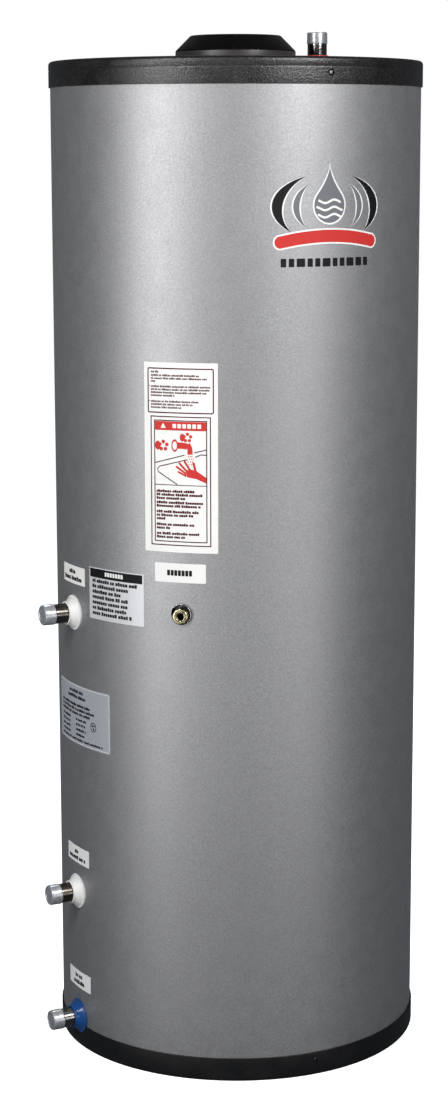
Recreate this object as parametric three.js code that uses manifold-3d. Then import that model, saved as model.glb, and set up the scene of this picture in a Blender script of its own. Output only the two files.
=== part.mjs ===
// Indirect tank water heater: a stainless tank with a heating coil, in foam and a steel jacket.
// Millimetres, +Z up. The origin is on the tank's axis at floor level. The front faces -Y and
// the boiler and cold connections point to -X. Angles around the tank run from the front (-Y)
// towards +X, in degrees.
import * as THREE from "three";
import { mergeVertices } from "three/addons/utils/BufferGeometryUtils.js";
import Module from "manifold-3d";

const wasm = await Module();
wasm.setup();

// ---- Driving dimensions ----
const GAP = 0.3; // between pieces that touch

const JACKET = { radius: 305, wall: 1.2, bottom: 4.3, top: 1640 };
const SKIN_SIDES = 72; // facets around the jacket, the pan and the top cover
const FACET = 360 / SKIN_SIDES;
const CORE_SIDES = 36; // facets around the tank and the foam
const PIPE_SIDES = 16;

const PAN = { radius: 307.6, floor: 4, height: 40, corner: 5 };
const COVER = { radius: 307.6, bottom: 1604.9, top: 1646.5, plate: 2.5, corner: 6, opening: 75 };
const LID = { radius: 98.8, shoulder: 1664, flat: 74, top: 1688.8, wall: 2.5, spigotEnd: 1639 };

const TANK = { radius: 253, wall: 2, bottom: 165, top: 1515, headRise: 70, headWall: 2.5 };
const FOAM = { inner: 253.6, outer: 303.2, rebate: 296, rebateTop: 45, top: 1600, well: 78 };
const FLOOR_FOAM_TOP = 32;
const SUPPORT = { outer: 238.3, wall: 3, top: 138 };

const PIPE = { radius: 16.2, bore: 13.3, threadRadius: 15.7, threadLength: 17.6 };
const CAP = { radius: 17.2, inner: 16.05, length: 19, end: 1.4 };
const COLLAR = { flange: 29, boss: 18.5, bore: 16.8, rim: 2, height: 16, hotHeight: 13, depth: 4 };
// How far each pipe reaches from its collar's seat to the rim of its thread cap.
const STUB = { supply: 38.5, return: 35, cold: 34.5, hot: 32 };

const SIDE_ANGLE = -90; // the side connections point to -X
const SUPPLY_HEIGHT = 753.5;
const RETURN_HEIGHT = 273.8;
const COLD_HEIGHT = 52.5;
const COLD_RISE = { bend: 40, top: 99 }; // where the cold pipe turns up, and how high it goes
const HOT_OFFSET = 155.6; // from the tank's axis, towards +X
const HOT_START = 1560;
const SLEEVE = { angle: -45, height: 780, radius: 17, bore: 16, start: 275.3, end: 309.5 };
const SPUD = { height: 777, radius: 17, bore: 13, start: 246, end: 275 };
const WELL = { head: 12.6, headStart: 262, end: 314, tube: 6.5, bore: 5.25, tip: 100, tipWall: 2 };
const RELIEF = { radius: 21, bore: 16.8, bottom: 1582, top: 1612 };
const PLUG = { bottom: 1590, hexRadius: 15, hexHeight: 12 };

const COIL = { radius: 175, tube: 16, bend: 50, turns: 8, start: 225.7 };
const COIL_BAR = { radius: 150, width: 25, depth: 8, bottom: 114, first: 60 };
const COIL_STEPS = 16; // steps in each turn
const BEND_STEPS = 4;

const SCREW_TIP = 297;
const TOP_SCREW = { height: 1622, first: 0, shank: 1.6, head: 3.2, seat: 306.8, recess: 5.5 };
const BASE_SCREW = { height: 26.5, first: -3.6, shank: 1.6, head: 3.6, seat: 307.9 };
const SCREW_BULGE = 1.6;
const HOLE_PLAY = 0.4;
const PASS = 15; // how far a cutting tool reaches on each side of a wall

const SHEET = 0.5; // a label's thickness
const LABELS = [
  { name: "warning_label", angle: -45.2, width: 121.6, bottom: 879, top: 1179 },
  { name: "caution_label", angle: -68.7, width: 120, bottom: 754, top: 839 },
  { name: "control_label", angle: -45.5, width: 85, bottom: 830.5, top: 861.3 },
  { name: "supply_label", angle: -90.3, width: 82, bottom: 802, top: 832 },
  { name: "return_label", angle: -90, width: 82, bottom: 323, top: 352 },
  { name: "cold_label", angle: -90, width: 82, bottom: 102, top: 132 },
  { name: "rating_plate", angle: -87.6, width: 176.7, bottom: 531, top: 632 },
  { name: "front_emblem", angle: 0, width: 225, bottom: 1323, top: 1482 },
];
const SEAM = { angle: 180, width: 25, bottom: 45, top: 1600, thickness: 0.8 };

// ---- Colours, roughness and metalness ----
const FINISH = {
  paint: [0x8f9398, 0.38, 0.75],
  blackPlastic: [0x1c1b1a, 0.7, 0],
  stainless: [0xb4b6b8, 0.3, 1],
  steel: [0x77797c, 0.5, 1],
  brass: [0xc2a35a, 0.35, 1],
  foam: [0xe2cf97, 0.95, 0],
  white: [0xe6e4dd, 0.5, 0],
  blue: [0x2c4fa3, 0.5, 0],
  red: [0xc22a22, 0.5, 0],
  capPlastic: [0x8d9093, 0.55, 0],
  paper: [0xf2f1ec, 0.6, 0],
  foil: [0xb9bbbd, 0.4, 0.6],
};

// ---- Shape helpers ----
const radians = THREE.MathUtils.degToRad;
const degrees = THREE.MathUtils.radToDeg;

// One closed surface with merged corners, no empty triangles, and its faces pointing out.
function closed(geometry) {
  const bare = geometry.clone();
  bare.deleteAttribute("normal");
  bare.deleteAttribute("uv");
  const merged = mergeVertices(bare, 1e-3);
  const corners = merged.index.array;
  const kept = [];
  for (let i = 0; i < corners.length; i += 3) {
    const [a, b, c] = [corners[i], corners[i + 1], corners[i + 2]];
    if (a !== b && b !== c && c !== a) {
      kept.push(a, b, c);
    }
  }
  merged.setIndex(kept);
  if (signedVolume(merged) < 0) {
    kept.reverse();
    merged.setIndex(kept);
  }
  return merged;
}

function signedVolume(geometry) {
  const position = geometry.attributes.position;
  const corners = geometry.index.array;
  const [a, b, c] = [new THREE.Vector3(), new THREE.Vector3(), new THREE.Vector3()];
  let volume = 0;
  for (let i = 0; i < corners.length; i += 3) {
    a.fromBufferAttribute(position, corners[i]);
    b.fromBufferAttribute(position, corners[i + 1]);
    c.fromBufferAttribute(position, corners[i + 2]);
    volume += a.dot(b.cross(c)) / 6;
  }
  return volume;
}

function toSolid(geometry) {
  const merged = closed(geometry);
  return new wasm.Manifold(
    new wasm.Mesh({
      numProp: 3,
      vertProperties: new Float32Array(merged.attributes.position.array),
      triVerts: new Uint32Array(merged.index.array),
    }),
  );
}

function toGeometry(solid) {
  const result = solid.getMesh();
  const geometry = new THREE.BufferGeometry();
  geometry.setAttribute("position", new THREE.BufferAttribute(result.vertProperties, 3));
  geometry.setIndex(Array.from(result.triVerts));
  return geometry;
}

function cut(geometry, ...tools) {
  const solid = tools.reduce((rest, tool) => rest.subtract(toSolid(tool)), toSolid(geometry));
  return toGeometry(solid);
}

function join(first, second) {
  return toGeometry(toSolid(first).add(toSolid(second)));
}

// A profile of [radius, height] pairs turned around the Z axis.
function revolve(profile, sides) {
  const points = profile.map(([radius, height]) => new THREE.Vector2(Math.max(radius, 0), height));
  return closed(new THREE.LatheGeometry(points, sides).rotateX(Math.PI / 2));
}

function ring(inner, outer, bottom, top, sides) {
  const profile = [[inner, bottom], [outer, bottom], [outer, top], [inner, top], [inner, bottom]];
  return revolve(profile, sides);
}

function rod(radius, bottom, top, sides) {
  return revolve([[0, bottom], [radius, bottom], [radius, top], [0, top]], sides);
}

// A quarter of an ellipse from the rim at the given height to the axis.
function dome(radius, rise, height) {
  const steps = 5;
  return Array.from({ length: steps + 1 }, (_, i) => {
    const angle = ((i / steps) * Math.PI) / 2;
    return [radius * Math.cos(angle), height + rise * Math.sin(angle)];
  });
}

// Points on an arc of a profile's corner, from one angle to another.
function arc(radius, height, bend, from, to) {
  const steps = 2;
  return Array.from({ length: steps + 1 }, (_, i) => {
    const angle = radians(from + ((to - from) * i) / steps);
    return [radius + bend * Math.cos(angle), height + bend * Math.sin(angle)];
  });
}

// A frame whose local Z axis points straight out of the tank at an angle and a height.
function outwards(angle, height) {
  const frame = new THREE.Group();
  frame.rotation.order = "ZXY";
  frame.rotation.set(Math.PI / 2, 0, radians(angle));
  frame.position.z = height;
  frame.updateMatrix();
  return frame;
}

function radialTool(radius, angle, height, from, to, sides = PIPE_SIDES) {
  return rod(radius, from, to, sides).applyMatrix4(outwards(angle, height).matrix);
}

// A sheet that follows the jacket's facets, from one angle to another.
function curvedSheet(angle, width, bottom, top, thickness) {
  const half = degrees(width / 2 / JACKET.radius);
  const stops = [angle - half];
  for (let i = Math.ceil((angle - half) / FACET); i * FACET < angle + half; i += 1) {
    stops.push(i * FACET);
  }
  stops.push(angle + half);
  const inner = JACKET.radius + GAP;
  const place = (stop, radius) =>
    new THREE.Vector2(radius * Math.sin(radians(stop)), -radius * Math.cos(radians(stop)));
  const outline = [
    ...stops.map((stop) => place(stop, inner + thickness)),
    ...stops.reverse().map((stop) => place(stop, inner)),
  ];
  const shape = new THREE.Shape(outline);
  const sheet = new THREE.ExtrudeGeometry(shape, { depth: top - bottom, bevelEnabled: false });
  return closed(sheet.translate(0, 0, bottom));
}

// A path made of stretches, each with its own number of steps.
class SteppedPath extends THREE.Curve {
  constructor(stretches) {
    super();
    this.stretches = stretches;
    this.steps = stretches.reduce((sum, stretch) => sum + stretch.steps, 0);
  }

  getPoint(t) {
    let step = t * this.steps;
    for (const stretch of this.stretches) {
      if (step <= stretch.steps) {
        return stretch.at(step / stretch.steps);
      }
      step -= stretch.steps;
    }
    return this.stretches.at(-1).at(1);
  }

  getUtoTmapping(u) {
    return u;
  }
}

function straight(from, to) {
  return { steps: 1, at: (u) => from.clone().lerp(to, u) };
}

function polygon(radius, sides) {
  return Array.from({ length: sides }, (_, i) => {
    const angle = (2 * Math.PI * i) / sides;
    return new THREE.Vector2(radius * Math.cos(angle), radius * Math.sin(angle));
  });
}

function alongPath(section, path) {
  return closed(new THREE.ExtrudeGeometry(section, { extrudePath: path, steps: path.steps }));
}

const heater = new THREE.Group();

function place(parent, name, geometry, finish) {
  const [color, roughness, metalness] = FINISH[finish];
  const material = new THREE.MeshStandardMaterial({ color, roughness, metalness });
  const mesh = new THREE.Mesh(geometry, material);
  mesh.name = name;
  parent.add(mesh);
}

// ---- Pipe connections ----
// A connection's own frame has the pipe along local Z. seat is where its collar rests.
const SIDE_SEAT = JACKET.radius;
const HOT_SEAT = COVER.top + GAP;

function pipeProfile(start, capRim) {
  const threadStart = capRim - 1;
  const end = threadStart + PIPE.threadLength;
  return [
    [PIPE.bore, start],
    [PIPE.radius, start],
    [PIPE.radius, threadStart],
    [PIPE.threadRadius, threadStart],
    [PIPE.threadRadius, end],
    [PIPE.bore, end],
    [PIPE.bore, start],
  ];
}

function nipple(start, capRim) {
  return revolve(pipeProfile(start, capRim), PIPE_SIDES);
}

function threadCap(rim) {
  const end = rim + CAP.length;
  const floor = end - CAP.end;
  const chamfer = 0.8;
  return revolve(
    [
      [0, end],
      [CAP.radius - chamfer, end],
      [CAP.radius, end - chamfer],
      [CAP.radius, rim],
      [CAP.inner, rim],
      [CAP.inner, floor],
      [0, floor],
    ],
    PIPE_SIDES,
  );
}

// A conical collar that covers the gap around a pipe.
function collar(seat, height, depth) {
  const shoulder = 0.6 * height;
  return revolve(
    [
      [COLLAR.bore, seat - depth],
      [COLLAR.flange, seat - depth],
      [COLLAR.flange, seat + COLLAR.rim],
      [COLLAR.flange - 3, seat + COLLAR.rim + 1],
      [COLLAR.boss + 1.5, seat + shoulder],
      [COLLAR.boss, seat + height],
      [COLLAR.bore, seat + height],
      [COLLAR.bore, seat - depth],
    ],
    24,
  );
}

// The collar's back follows the jacket. The cutter's axis is the tank's, local Y here.
function sideCollar() {
  const radius = JACKET.radius + GAP;
  const cutter = new THREE.CylinderGeometry(radius, radius, 4 * COLLAR.flange, SKIN_SIDES);
  return cut(collar(SIDE_SEAT, COLLAR.height, COLLAR.depth), cutter);
}

function addSideConnection(name, height, collarFinish) {
  const frame = outwards(SIDE_ANGLE, height);
  heater.add(frame);
  place(frame, `${name}_collar`, sideCollar(), collarFinish);
  place(frame, `${name}_thread_cap`, threadCap(SIDE_SEAT + STUB[name]), "capPlastic");
  return frame;
}

function addCoilConnection(name, height) {
  const frame = addSideConnection(name, height, "white");
  place(frame, `${name}_nipple`, nipple(COIL.start + GAP, SIDE_SEAT + STUB[name]), "stainless");
}

// The cold pipe runs in under the bottom head and turns up into its centre.
function addColdConnection() {
  const frame = addSideConnection("cold", COLD_HEIGHT, "blue");
  const bend = COLD_RISE.bend;
  const threadStart = SIDE_SEAT + STUB.cold - 1;
  const end = threadStart + PIPE.threadLength;
  const path = new SteppedPath([
    straight(new THREE.Vector3(0, 0, end), new THREE.Vector3(0, 0, bend)),
    {
      steps: 8,
      at: (u) => {
        const angle = (u * Math.PI) / 2;
        return new THREE.Vector3(0, bend - bend * Math.cos(angle), bend - bend * Math.sin(angle));
      },
    },
    straight(new THREE.Vector3(0, bend, 0), new THREE.Vector3(0, COLD_RISE.top - COLD_HEIGHT, 0)),
  ]);
  const section = new THREE.Shape(polygon(PIPE.radius, PIPE_SIDES));
  section.holes.push(new THREE.Path(polygon(PIPE.bore, 12)));
  const pipe = alongPath(section, path);
  const turned = ring(PIPE.threadRadius, 2 * PIPE.radius, threadStart, end + 1, PIPE_SIDES);
  place(frame, "cold_inlet_pipe", cut(pipe, turned), "stainless");
}

function addHotConnection() {
  const frame = new THREE.Group();
  frame.position.x = HOT_OFFSET;
  heater.add(frame);
  place(frame, "hot_outlet_nipple", nipple(HOT_START, HOT_SEAT + STUB.hot), "stainless");
  place(frame, "hot_collar", collar(HOT_SEAT, COLLAR.hotHeight, 0), "red");
  place(frame, "hot_thread_cap", threadCap(HOT_SEAT + STUB.hot), "capPlastic");
}

// The sensor well screws into a spud on the tank and hangs a little low in the sleeve that
// lines the opening through the foam and the jacket.
function addControlPort() {
  const opening = outwards(SLEEVE.angle, SLEEVE.height);
  const frame = outwards(SLEEVE.angle, SPUD.height);
  heater.add(opening, frame);
  const sleeve = ring(SLEEVE.bore, SLEEVE.radius, SLEEVE.start, SLEEVE.end, 24);
  const spud = ring(SPUD.bore, SPUD.radius, SPUD.start, SPUD.end, 20);
  const well = revolve(
    [
      [0, WELL.tip],
      [WELL.tube, WELL.tip],
      [WELL.tube, WELL.headStart],
      [WELL.head, WELL.headStart],
      [WELL.head, WELL.end],
      [WELL.bore, WELL.end],
      [WELL.bore, WELL.tip + WELL.tipWall],
      [0, WELL.tip + WELL.tipWall],
    ],
    20,
  );
  place(opening, "control_sleeve", sleeve, "stainless");
  place(frame, "control_spud", spud, "stainless");
  place(frame, "control_well", well, "brass");
}

function addReliefPort() {
  const coupling = ring(RELIEF.bore, RELIEF.radius, RELIEF.bottom, RELIEF.top, 20);
  const body = rod(RELIEF.bore - 0.4, PLUG.bottom, RELIEF.top + 1, 20);
  const hex = rod(PLUG.hexRadius, RELIEF.top, RELIEF.top + PLUG.hexHeight, 6);
  place(heater, "relief_port_coupling", coupling, "stainless");
  place(heater, "relief_port_plug", join(body, hex), "brass");
}

// ---- Tank and coil ----
// Openings that the side pipes and the control port need in each wall around the tank.
function sideOpenings(from, to, controlRadius, controlHeight) {
  const heights = [SUPPLY_HEIGHT, RETURN_HEIGHT, COLD_HEIGHT];
  const radius = PIPE.radius + 1;
  const tools = heights.map((height) => radialTool(radius, SIDE_ANGLE, height, from, to));
  tools.push(radialTool(controlRadius, SLEEVE.angle, controlHeight, from, to, 24));
  return tools;
}

function addTankShell() {
  const inner = TANK.radius - TANK.wall;
  const shell = ring(inner, TANK.radius, TANK.bottom, TANK.top, CORE_SIDES);
  const openings = sideOpenings(inner - PASS, TANK.radius + PASS, SPUD.radius + 2 * GAP, SPUD.height);
  place(heater, "tank_shell", cut(shell, ...openings), "stainless");
}

function tankHead(height, rise) {
  const wall = Math.sign(rise) * TANK.headWall;
  const outside = dome(TANK.radius, rise, height).reverse();
  const inside = dome(TANK.radius - TANK.headWall, rise - wall, height);
  return revolve([...outside, ...inside], CORE_SIDES);
}

function addTankHeads() {
  const above = TANK.top + GAP;
  const below = TANK.bottom - GAP;
  const hotHole = rod(PIPE.radius + 1, above, COVER.top, PIPE_SIDES).translate(HOT_OFFSET, 0, 0);
  const reliefHole = rod(RELIEF.radius + 0.4, above, COVER.top, 20);
  const coldHole = rod(PIPE.radius + 1, 0, TANK.bottom, PIPE_SIDES);
  const topHead = cut(tankHead(above, TANK.headRise), hotHole, reliefHole);
  const bottomHead = cut(tankHead(below, -TANK.headRise), coldHole);
  place(heater, "tank_top_head", topHead, "stainless");
  place(heater, "tank_bottom_head", bottomHead, "stainless");
}

function addSupportRing() {
  const inner = SUPPORT.outer - SUPPORT.wall;
  const skirt = ring(inner, SUPPORT.outer, JACKET.bottom, SUPPORT.top, CORE_SIDES);
  const hole = radialTool(PIPE.radius + 2, SIDE_ANGLE, COLD_HEIGHT, inner - PASS, TANK.radius);
  place(heater, "tank_support_ring", cut(skirt, hole), "steel");
}

// The coil's bend leaves the side pipe's line and meets the helix from outside.
function coilPath() {
  const reach = COIL.radius + COIL.bend;
  const bendX = -Math.sqrt(reach ** 2 - COIL.bend ** 2);
  const meeting = Math.atan2(COIL.bend, bendX);
  const sweep = 2 * meeting + COIL.turns * 2 * Math.PI;
  const swing = meeting - Math.PI / 2;
  const bendPoint = (u, side, height) => {
    const angle = -Math.PI / 2 + u * swing;
    const x = bendX + COIL.bend * Math.cos(angle);
    const y = COIL.bend + COIL.bend * Math.sin(angle);
    return new THREE.Vector3(x, side * y, height);
  };
  const helixPoint = (u) => {
    const angle = meeting - u * sweep;
    const height = THREE.MathUtils.lerp(SUPPLY_HEIGHT, RETURN_HEIGHT, u);
    return new THREE.Vector3(COIL.radius * Math.cos(angle), COIL.radius * Math.sin(angle), height);
  };
  const outer = (height) => new THREE.Vector3(-COIL.start, 0, height);
  return new SteppedPath([
    straight(outer(SUPPLY_HEIGHT), bendPoint(0, 1, SUPPLY_HEIGHT)),
    { steps: BEND_STEPS, at: (u) => bendPoint(u, 1, SUPPLY_HEIGHT) },
    { steps: Math.round((COIL_STEPS * sweep) / (2 * Math.PI)), at: helixPoint },
    { steps: BEND_STEPS, at: (u) => bendPoint(1 - u, -1, RETURN_HEIGHT) },
    straight(bendPoint(0, -1, RETURN_HEIGHT), outer(RETURN_HEIGHT)),
  ]);
}

// The coil's own bore is left out, so it is a solid bar of the tube's outer size.
function addCoil() {
  const section = new THREE.Shape(polygon(COIL.tube, 8));
  place(heater, "coil_tube", alongPath(section, coilPath()), "stainless");
}

// Flat bars inside the coil hold its turns apart and stand on the bottom head.
function addCoilSupports() {
  const { radius, width, depth, bottom, first } = COIL_BAR;
  const length = SUPPLY_HEIGHT + COIL.tube - bottom;
  for (let i = 0; i < 3; i += 1) {
    const holder = new THREE.Group();
    holder.rotation.z = radians(first + 120 * i);
    heater.add(holder);
    const bar = new THREE.BoxGeometry(width, depth, length).translate(0, -radius, bottom + length / 2);
    place(holder, `coil_support_${i + 1}`, closed(bar), "steel");
  }
}

// ---- Foam ----
function addSideInsulation() {
  const foam = revolve(
    [
      [FOAM.inner, JACKET.bottom],
      [FOAM.rebate, JACKET.bottom],
      [FOAM.rebate, FOAM.rebateTop],
      [FOAM.outer, FOAM.rebateTop],
      [FOAM.outer, FOAM.top],
      [FOAM.inner, FOAM.top],
      [FOAM.inner, JACKET.bottom],
    ],
    CORE_SIDES,
  );
  const clearance = SLEEVE.height - SPUD.height + SPUD.radius + 2 * GAP;
  const openings = sideOpenings(FOAM.inner - PASS, FOAM.outer + PASS, clearance, SLEEVE.height);
  place(heater, "side_insulation", cut(foam, ...openings), "foam");
}

// The top foam fills the space over the domed head, around an open well at the middle.
function addTopInsulation() {
  const headTop = TANK.top + 3 * GAP;
  const well = dome(TANK.radius, TANK.headRise, headTop).filter(([radius]) => radius > FOAM.well);
  const wellFloor = headTop + TANK.headRise * Math.sqrt(1 - (FOAM.well / TANK.radius) ** 2);
  const top = COVER.top - COVER.plate - GAP;
  const foam = revolve(
    [
      ...well,
      [FOAM.well, wellFloor],
      [FOAM.well, top],
      [FOAM.rebate, top],
      [FOAM.rebate, FOAM.top + GAP],
      [TANK.radius, FOAM.top + GAP],
      well[0],
    ],
    CORE_SIDES,
  );
  const hole = rod(PIPE.radius + 1, TANK.top, COVER.top, PIPE_SIDES).translate(HOT_OFFSET, 0, 0);
  place(heater, "top_insulation", cut(foam, hole), "foam");
}

function addBottomInsulation() {
  const radius = SUPPORT.outer - SUPPORT.wall - GAP;
  place(heater, "bottom_insulation", rod(radius, JACKET.bottom, FLOOR_FOAM_TOP, CORE_SIDES), "foam");
}

// ---- Casing ----
function screwAngles(first) {
  return [0, 120, 240].map((turn) => first + turn);
}

// A tool that passes through the jacket, and the pan or the cover over it.
function casingTool(radius, angle, height, sides = PIPE_SIDES) {
  return radialTool(radius, angle, height, JACKET.radius - PASS, JACKET.radius + PASS, sides);
}

function screwHoles(screw) {
  const radius = screw.shank + HOLE_PLAY;
  return screwAngles(screw.first).map((angle) => casingTool(radius, angle, screw.height, 10));
}

function addBasePan() {
  const wall = JACKET.radius + GAP;
  const turn = PAN.radius - PAN.corner;
  const pan = revolve(
    [
      [0, 0],
      ...arc(turn, PAN.corner, PAN.corner, -90, 0),
      [PAN.radius, PAN.height],
      [wall, PAN.height],
      [wall, PAN.floor],
      [0, PAN.floor],
    ],
    SKIN_SIDES,
  );
  const notch = casingTool(COLLAR.flange + 1, SIDE_ANGLE, COLD_HEIGHT, 24);
  place(heater, "base_pan", cut(pan, notch, ...screwHoles(BASE_SCREW)), "blackPlastic");
}

function addJacket() {
  const inner = JACKET.radius - JACKET.wall;
  const wrap = ring(inner, JACKET.radius, JACKET.bottom, JACKET.top, SKIN_SIDES);
  const play = SLEEVE.radius + HOLE_PLAY;
  const openings = sideOpenings(inner - PASS, JACKET.radius + PASS, play, SLEEVE.height);
  const holes = [...screwHoles(TOP_SCREW), ...screwHoles(BASE_SCREW)];
  place(heater, "jacket", cut(wrap, ...openings, ...holes), "paint");
  const { angle, width, bottom, top, thickness } = SEAM;
  place(heater, "jacket_seam_strip", curvedSheet(angle, width, bottom, top, thickness), "paint");
}

function addTopCover() {
  const under = COVER.top - COVER.plate;
  const wall = JACKET.radius + GAP;
  const chamfer = 1.8;
  const turn = [COVER.radius - COVER.corner, COVER.top - COVER.corner];
  const shell = revolve(
    [
      [COVER.opening, under],
      [wall - chamfer, under],
      [wall, under - chamfer],
      [wall, COVER.bottom],
      [COVER.radius, COVER.bottom],
      ...arc(...turn, COVER.corner, 0, 90),
      [COVER.opening, COVER.top],
      [COVER.opening, under],
    ],
    SKIN_SIDES,
  );
  const pipeHole = rod(PIPE.radius + 1, under - 1, COVER.top + 1, PIPE_SIDES);
  const recessFloor = TOP_SCREW.seat - GAP;
  const recesses = screwAngles(TOP_SCREW.first).map((angle) =>
    radialTool(TOP_SCREW.recess, angle, TOP_SCREW.height, recessFloor, COVER.radius + PASS),
  );
  const holes = screwHoles(TOP_SCREW);
  const cover = cut(shell, pipeHole.translate(HOT_OFFSET, 0, 0), ...recesses, ...holes);
  place(heater, "top_cover", cover, "blackPlastic");
}

// The lid over the access well: a ring, a sloping shoulder, a flat top and a locating spigot.
function addAccessLid() {
  const bottom = COVER.top + GAP;
  const inside = LID.radius - LID.wall;
  const spigot = COVER.opening - 0.8;
  const ceiling = LID.top - LID.wall;
  const rise = inside - spigot;
  const lid = revolve(
    [
      [0, LID.top],
      [LID.flat, LID.top],
      [LID.radius, LID.shoulder],
      [LID.radius, bottom],
      [inside, bottom],
      [inside, LID.shoulder - 1],
      [spigot, LID.shoulder - 1 + rise],
      [spigot, LID.spigotEnd],
      [spigot - LID.wall, LID.spigotEnd],
      [spigot - LID.wall, ceiling],
      [0, ceiling],
    ],
    48,
  );
  place(heater, "access_lid", lid, "blackPlastic");
}

function screw(spec) {
  const rim = SCREW_BULGE / 2;
  return revolve(
    [
      [0, SCREW_TIP],
      [spec.shank, SCREW_TIP],
      [spec.shank, spec.seat],
      [spec.head, spec.seat],
      [spec.head, spec.seat + rim],
      [0.6 * spec.head, spec.seat + SCREW_BULGE],
      [0, spec.seat + SCREW_BULGE],
    ],
    10,
  );
}

function addScrews(name, spec, finish) {
  screwAngles(spec.first).forEach((angle, i) => {
    const frame = outwards(angle, spec.height);
    heater.add(frame);
    place(frame, `${name}_${i + 1}`, screw(spec), finish);
  });
}

function addLabels() {
  for (const { name, angle, width, bottom, top } of LABELS) {
    const finish = ["rating_plate", "caution_label"].includes(name) ? "foil" : "paper";
    place(heater, name, curvedSheet(angle, width, bottom, top, SHEET), finish);
  }
}

// ---- Assembly ----
addBasePan();
addJacket();
addTopCover();
addAccessLid();
addScrews("base_screw", BASE_SCREW, "steel");
addScrews("top_cover_screw", TOP_SCREW, "steel");
addLabels();
addSideInsulation();
addTopInsulation();
addBottomInsulation();
addTankShell();
addTankHeads();
addSupportRing();
addCoil();
addCoilSupports();
addCoilConnection("supply", SUPPLY_HEIGHT);
addCoilConnection("return", RETURN_HEIGHT);
addColdConnection();
addHotConnection();
addControlPort();
addReliefPort();

export default heater;
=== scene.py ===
import math
import random

import bmesh
import bpy
from mathutils import Matrix, Vector


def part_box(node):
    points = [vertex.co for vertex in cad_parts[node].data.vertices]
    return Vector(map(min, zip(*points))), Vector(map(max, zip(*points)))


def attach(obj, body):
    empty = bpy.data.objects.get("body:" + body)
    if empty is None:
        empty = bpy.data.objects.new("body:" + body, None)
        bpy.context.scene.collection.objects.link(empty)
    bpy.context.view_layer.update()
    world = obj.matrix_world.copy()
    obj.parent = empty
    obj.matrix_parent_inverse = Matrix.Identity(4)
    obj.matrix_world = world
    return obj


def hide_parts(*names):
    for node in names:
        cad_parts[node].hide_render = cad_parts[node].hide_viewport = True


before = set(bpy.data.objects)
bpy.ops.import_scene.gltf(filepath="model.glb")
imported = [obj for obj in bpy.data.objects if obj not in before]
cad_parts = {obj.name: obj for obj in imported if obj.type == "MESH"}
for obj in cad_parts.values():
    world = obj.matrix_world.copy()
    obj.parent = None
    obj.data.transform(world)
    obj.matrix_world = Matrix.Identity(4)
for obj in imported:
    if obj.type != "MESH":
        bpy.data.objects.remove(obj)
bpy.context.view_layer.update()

# Looks for an indirect tank water heater. Lengths are millimetres until a mesh is made. The origin
# is on the tank's axis at floor level, the front faces -Y, and angles run from the front towards +X.

MM = 0.001
X, Y, Z = 0, 1, 2
ROUND = 96  # segments of a round fitting
SKIN = 288  # segments of the jacket, the pan and the cover


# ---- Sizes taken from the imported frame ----
def low(node, axis):
    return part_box(node)[0][axis] / MM


def high(node, axis):
    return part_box(node)[1][axis] / MM


def middle(node, axis):
    return (low(node, axis) + high(node, axis)) / 2


def angle_of(point):
    """The angle around the tank of a point of the frame, in degrees."""
    return math.degrees(math.atan2(point[X], -point[Y]))


JACKET_R = high("jacket", X)
JACKET_WALL = 1.2
PAN_R = high("base_pan", X)
PAN_TOP = high("base_pan", Z)
COVER_R = high("top_cover", X)
COVER_BOTTOM = low("top_cover", Z)
COVER_TOP = high("top_cover", Z)
LID_R = high("access_lid", X)
LID_TOP = high("access_lid", Z)
SUPPLY_Z = middle("supply_nipple", Z)
RETURN_Z = middle("return_nipple", Z)
COLD_Z = middle("cold_thread_cap", Z)
HOT_X = middle("hot_outlet_nipple", X)
SIDE_ANGLE = -90
SLEEVE_ANGLE = angle_of(sum(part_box("control_sleeve"), Vector()) / 2)
SLEEVE_Z = middle("control_sleeve", Z)
WELL_Z = middle("control_well", Z)
HOT_CAP_END = high("hot_thread_cap", Z)

# ---- Sizes that only the looks need ----
FIT = 0.3  # play between pieces that touch
COVER_PLATE = 2.5
COVER_OPENING = 75  # radius of the hole under the access lid
GROOVE_DROP = 15  # from the cover's top down to its moulded groove
LID_WALL = 2.5
LID_FLAT = 74  # radius of the lid's flat top
LID_SHOULDER = 1664
RECESS_R = 5.5
RECESS_DEPTH = 1.1
SCREW_TIP = 297
SCREW_BULGE = 1.6

PIPE_R = 16.2
PIPE_BORE = 13.3
THREAD_LENGTH = 17.6
THREAD_PITCH = 2.2
THREAD_DEPTH = 0.75
CAP_LENGTH = 19
CAP_R = 17.2
CAP_BORE = 16.3
CAP_RIM_SETBACK = 2.4  # from a cap's end back to the pipe's
FLANGE_R = 29
COLLAR_BORE = 16.8
COLLAR_DEPTH = 4  # how far a side collar would reach into the jacket before it is cut to fit
COLLAR_HEIGHT = 16
HOT_COLLAR_HEIGHT = 13
NIPPLE_START = 226.3
ELBOW_START = 40

SLEEVE_R = 17
SLEEVE_BORE = 16
SLEEVE_START = 275.3
SLEEVE_END = 309.5
WELL_HEAD_R = 12.6
WELL_HEAD_START = 262
WELL_TUBE_R = 6.5
WELL_BORE = 5.25
WELL_TIP = 100
WELL_END = 314


# ---- Mesh helpers ----
def outwards(angle, height):
    """A place whose local Z points straight out of the tank, with local Y up."""
    turn = Matrix.Rotation(math.radians(angle), 4, "Z") @ Matrix.Rotation(math.radians(90), 4, "X")
    return Matrix.Translation((0, 0, height * MM)) @ turn


def upright(x=0, z=0):
    return Matrix.Translation((x * MM, 0, z * MM))


def shade(mesh, sharp=30):
    mesh.shade_smooth()
    mesh.set_sharp_from_angle(angle=math.radians(sharp))


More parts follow.
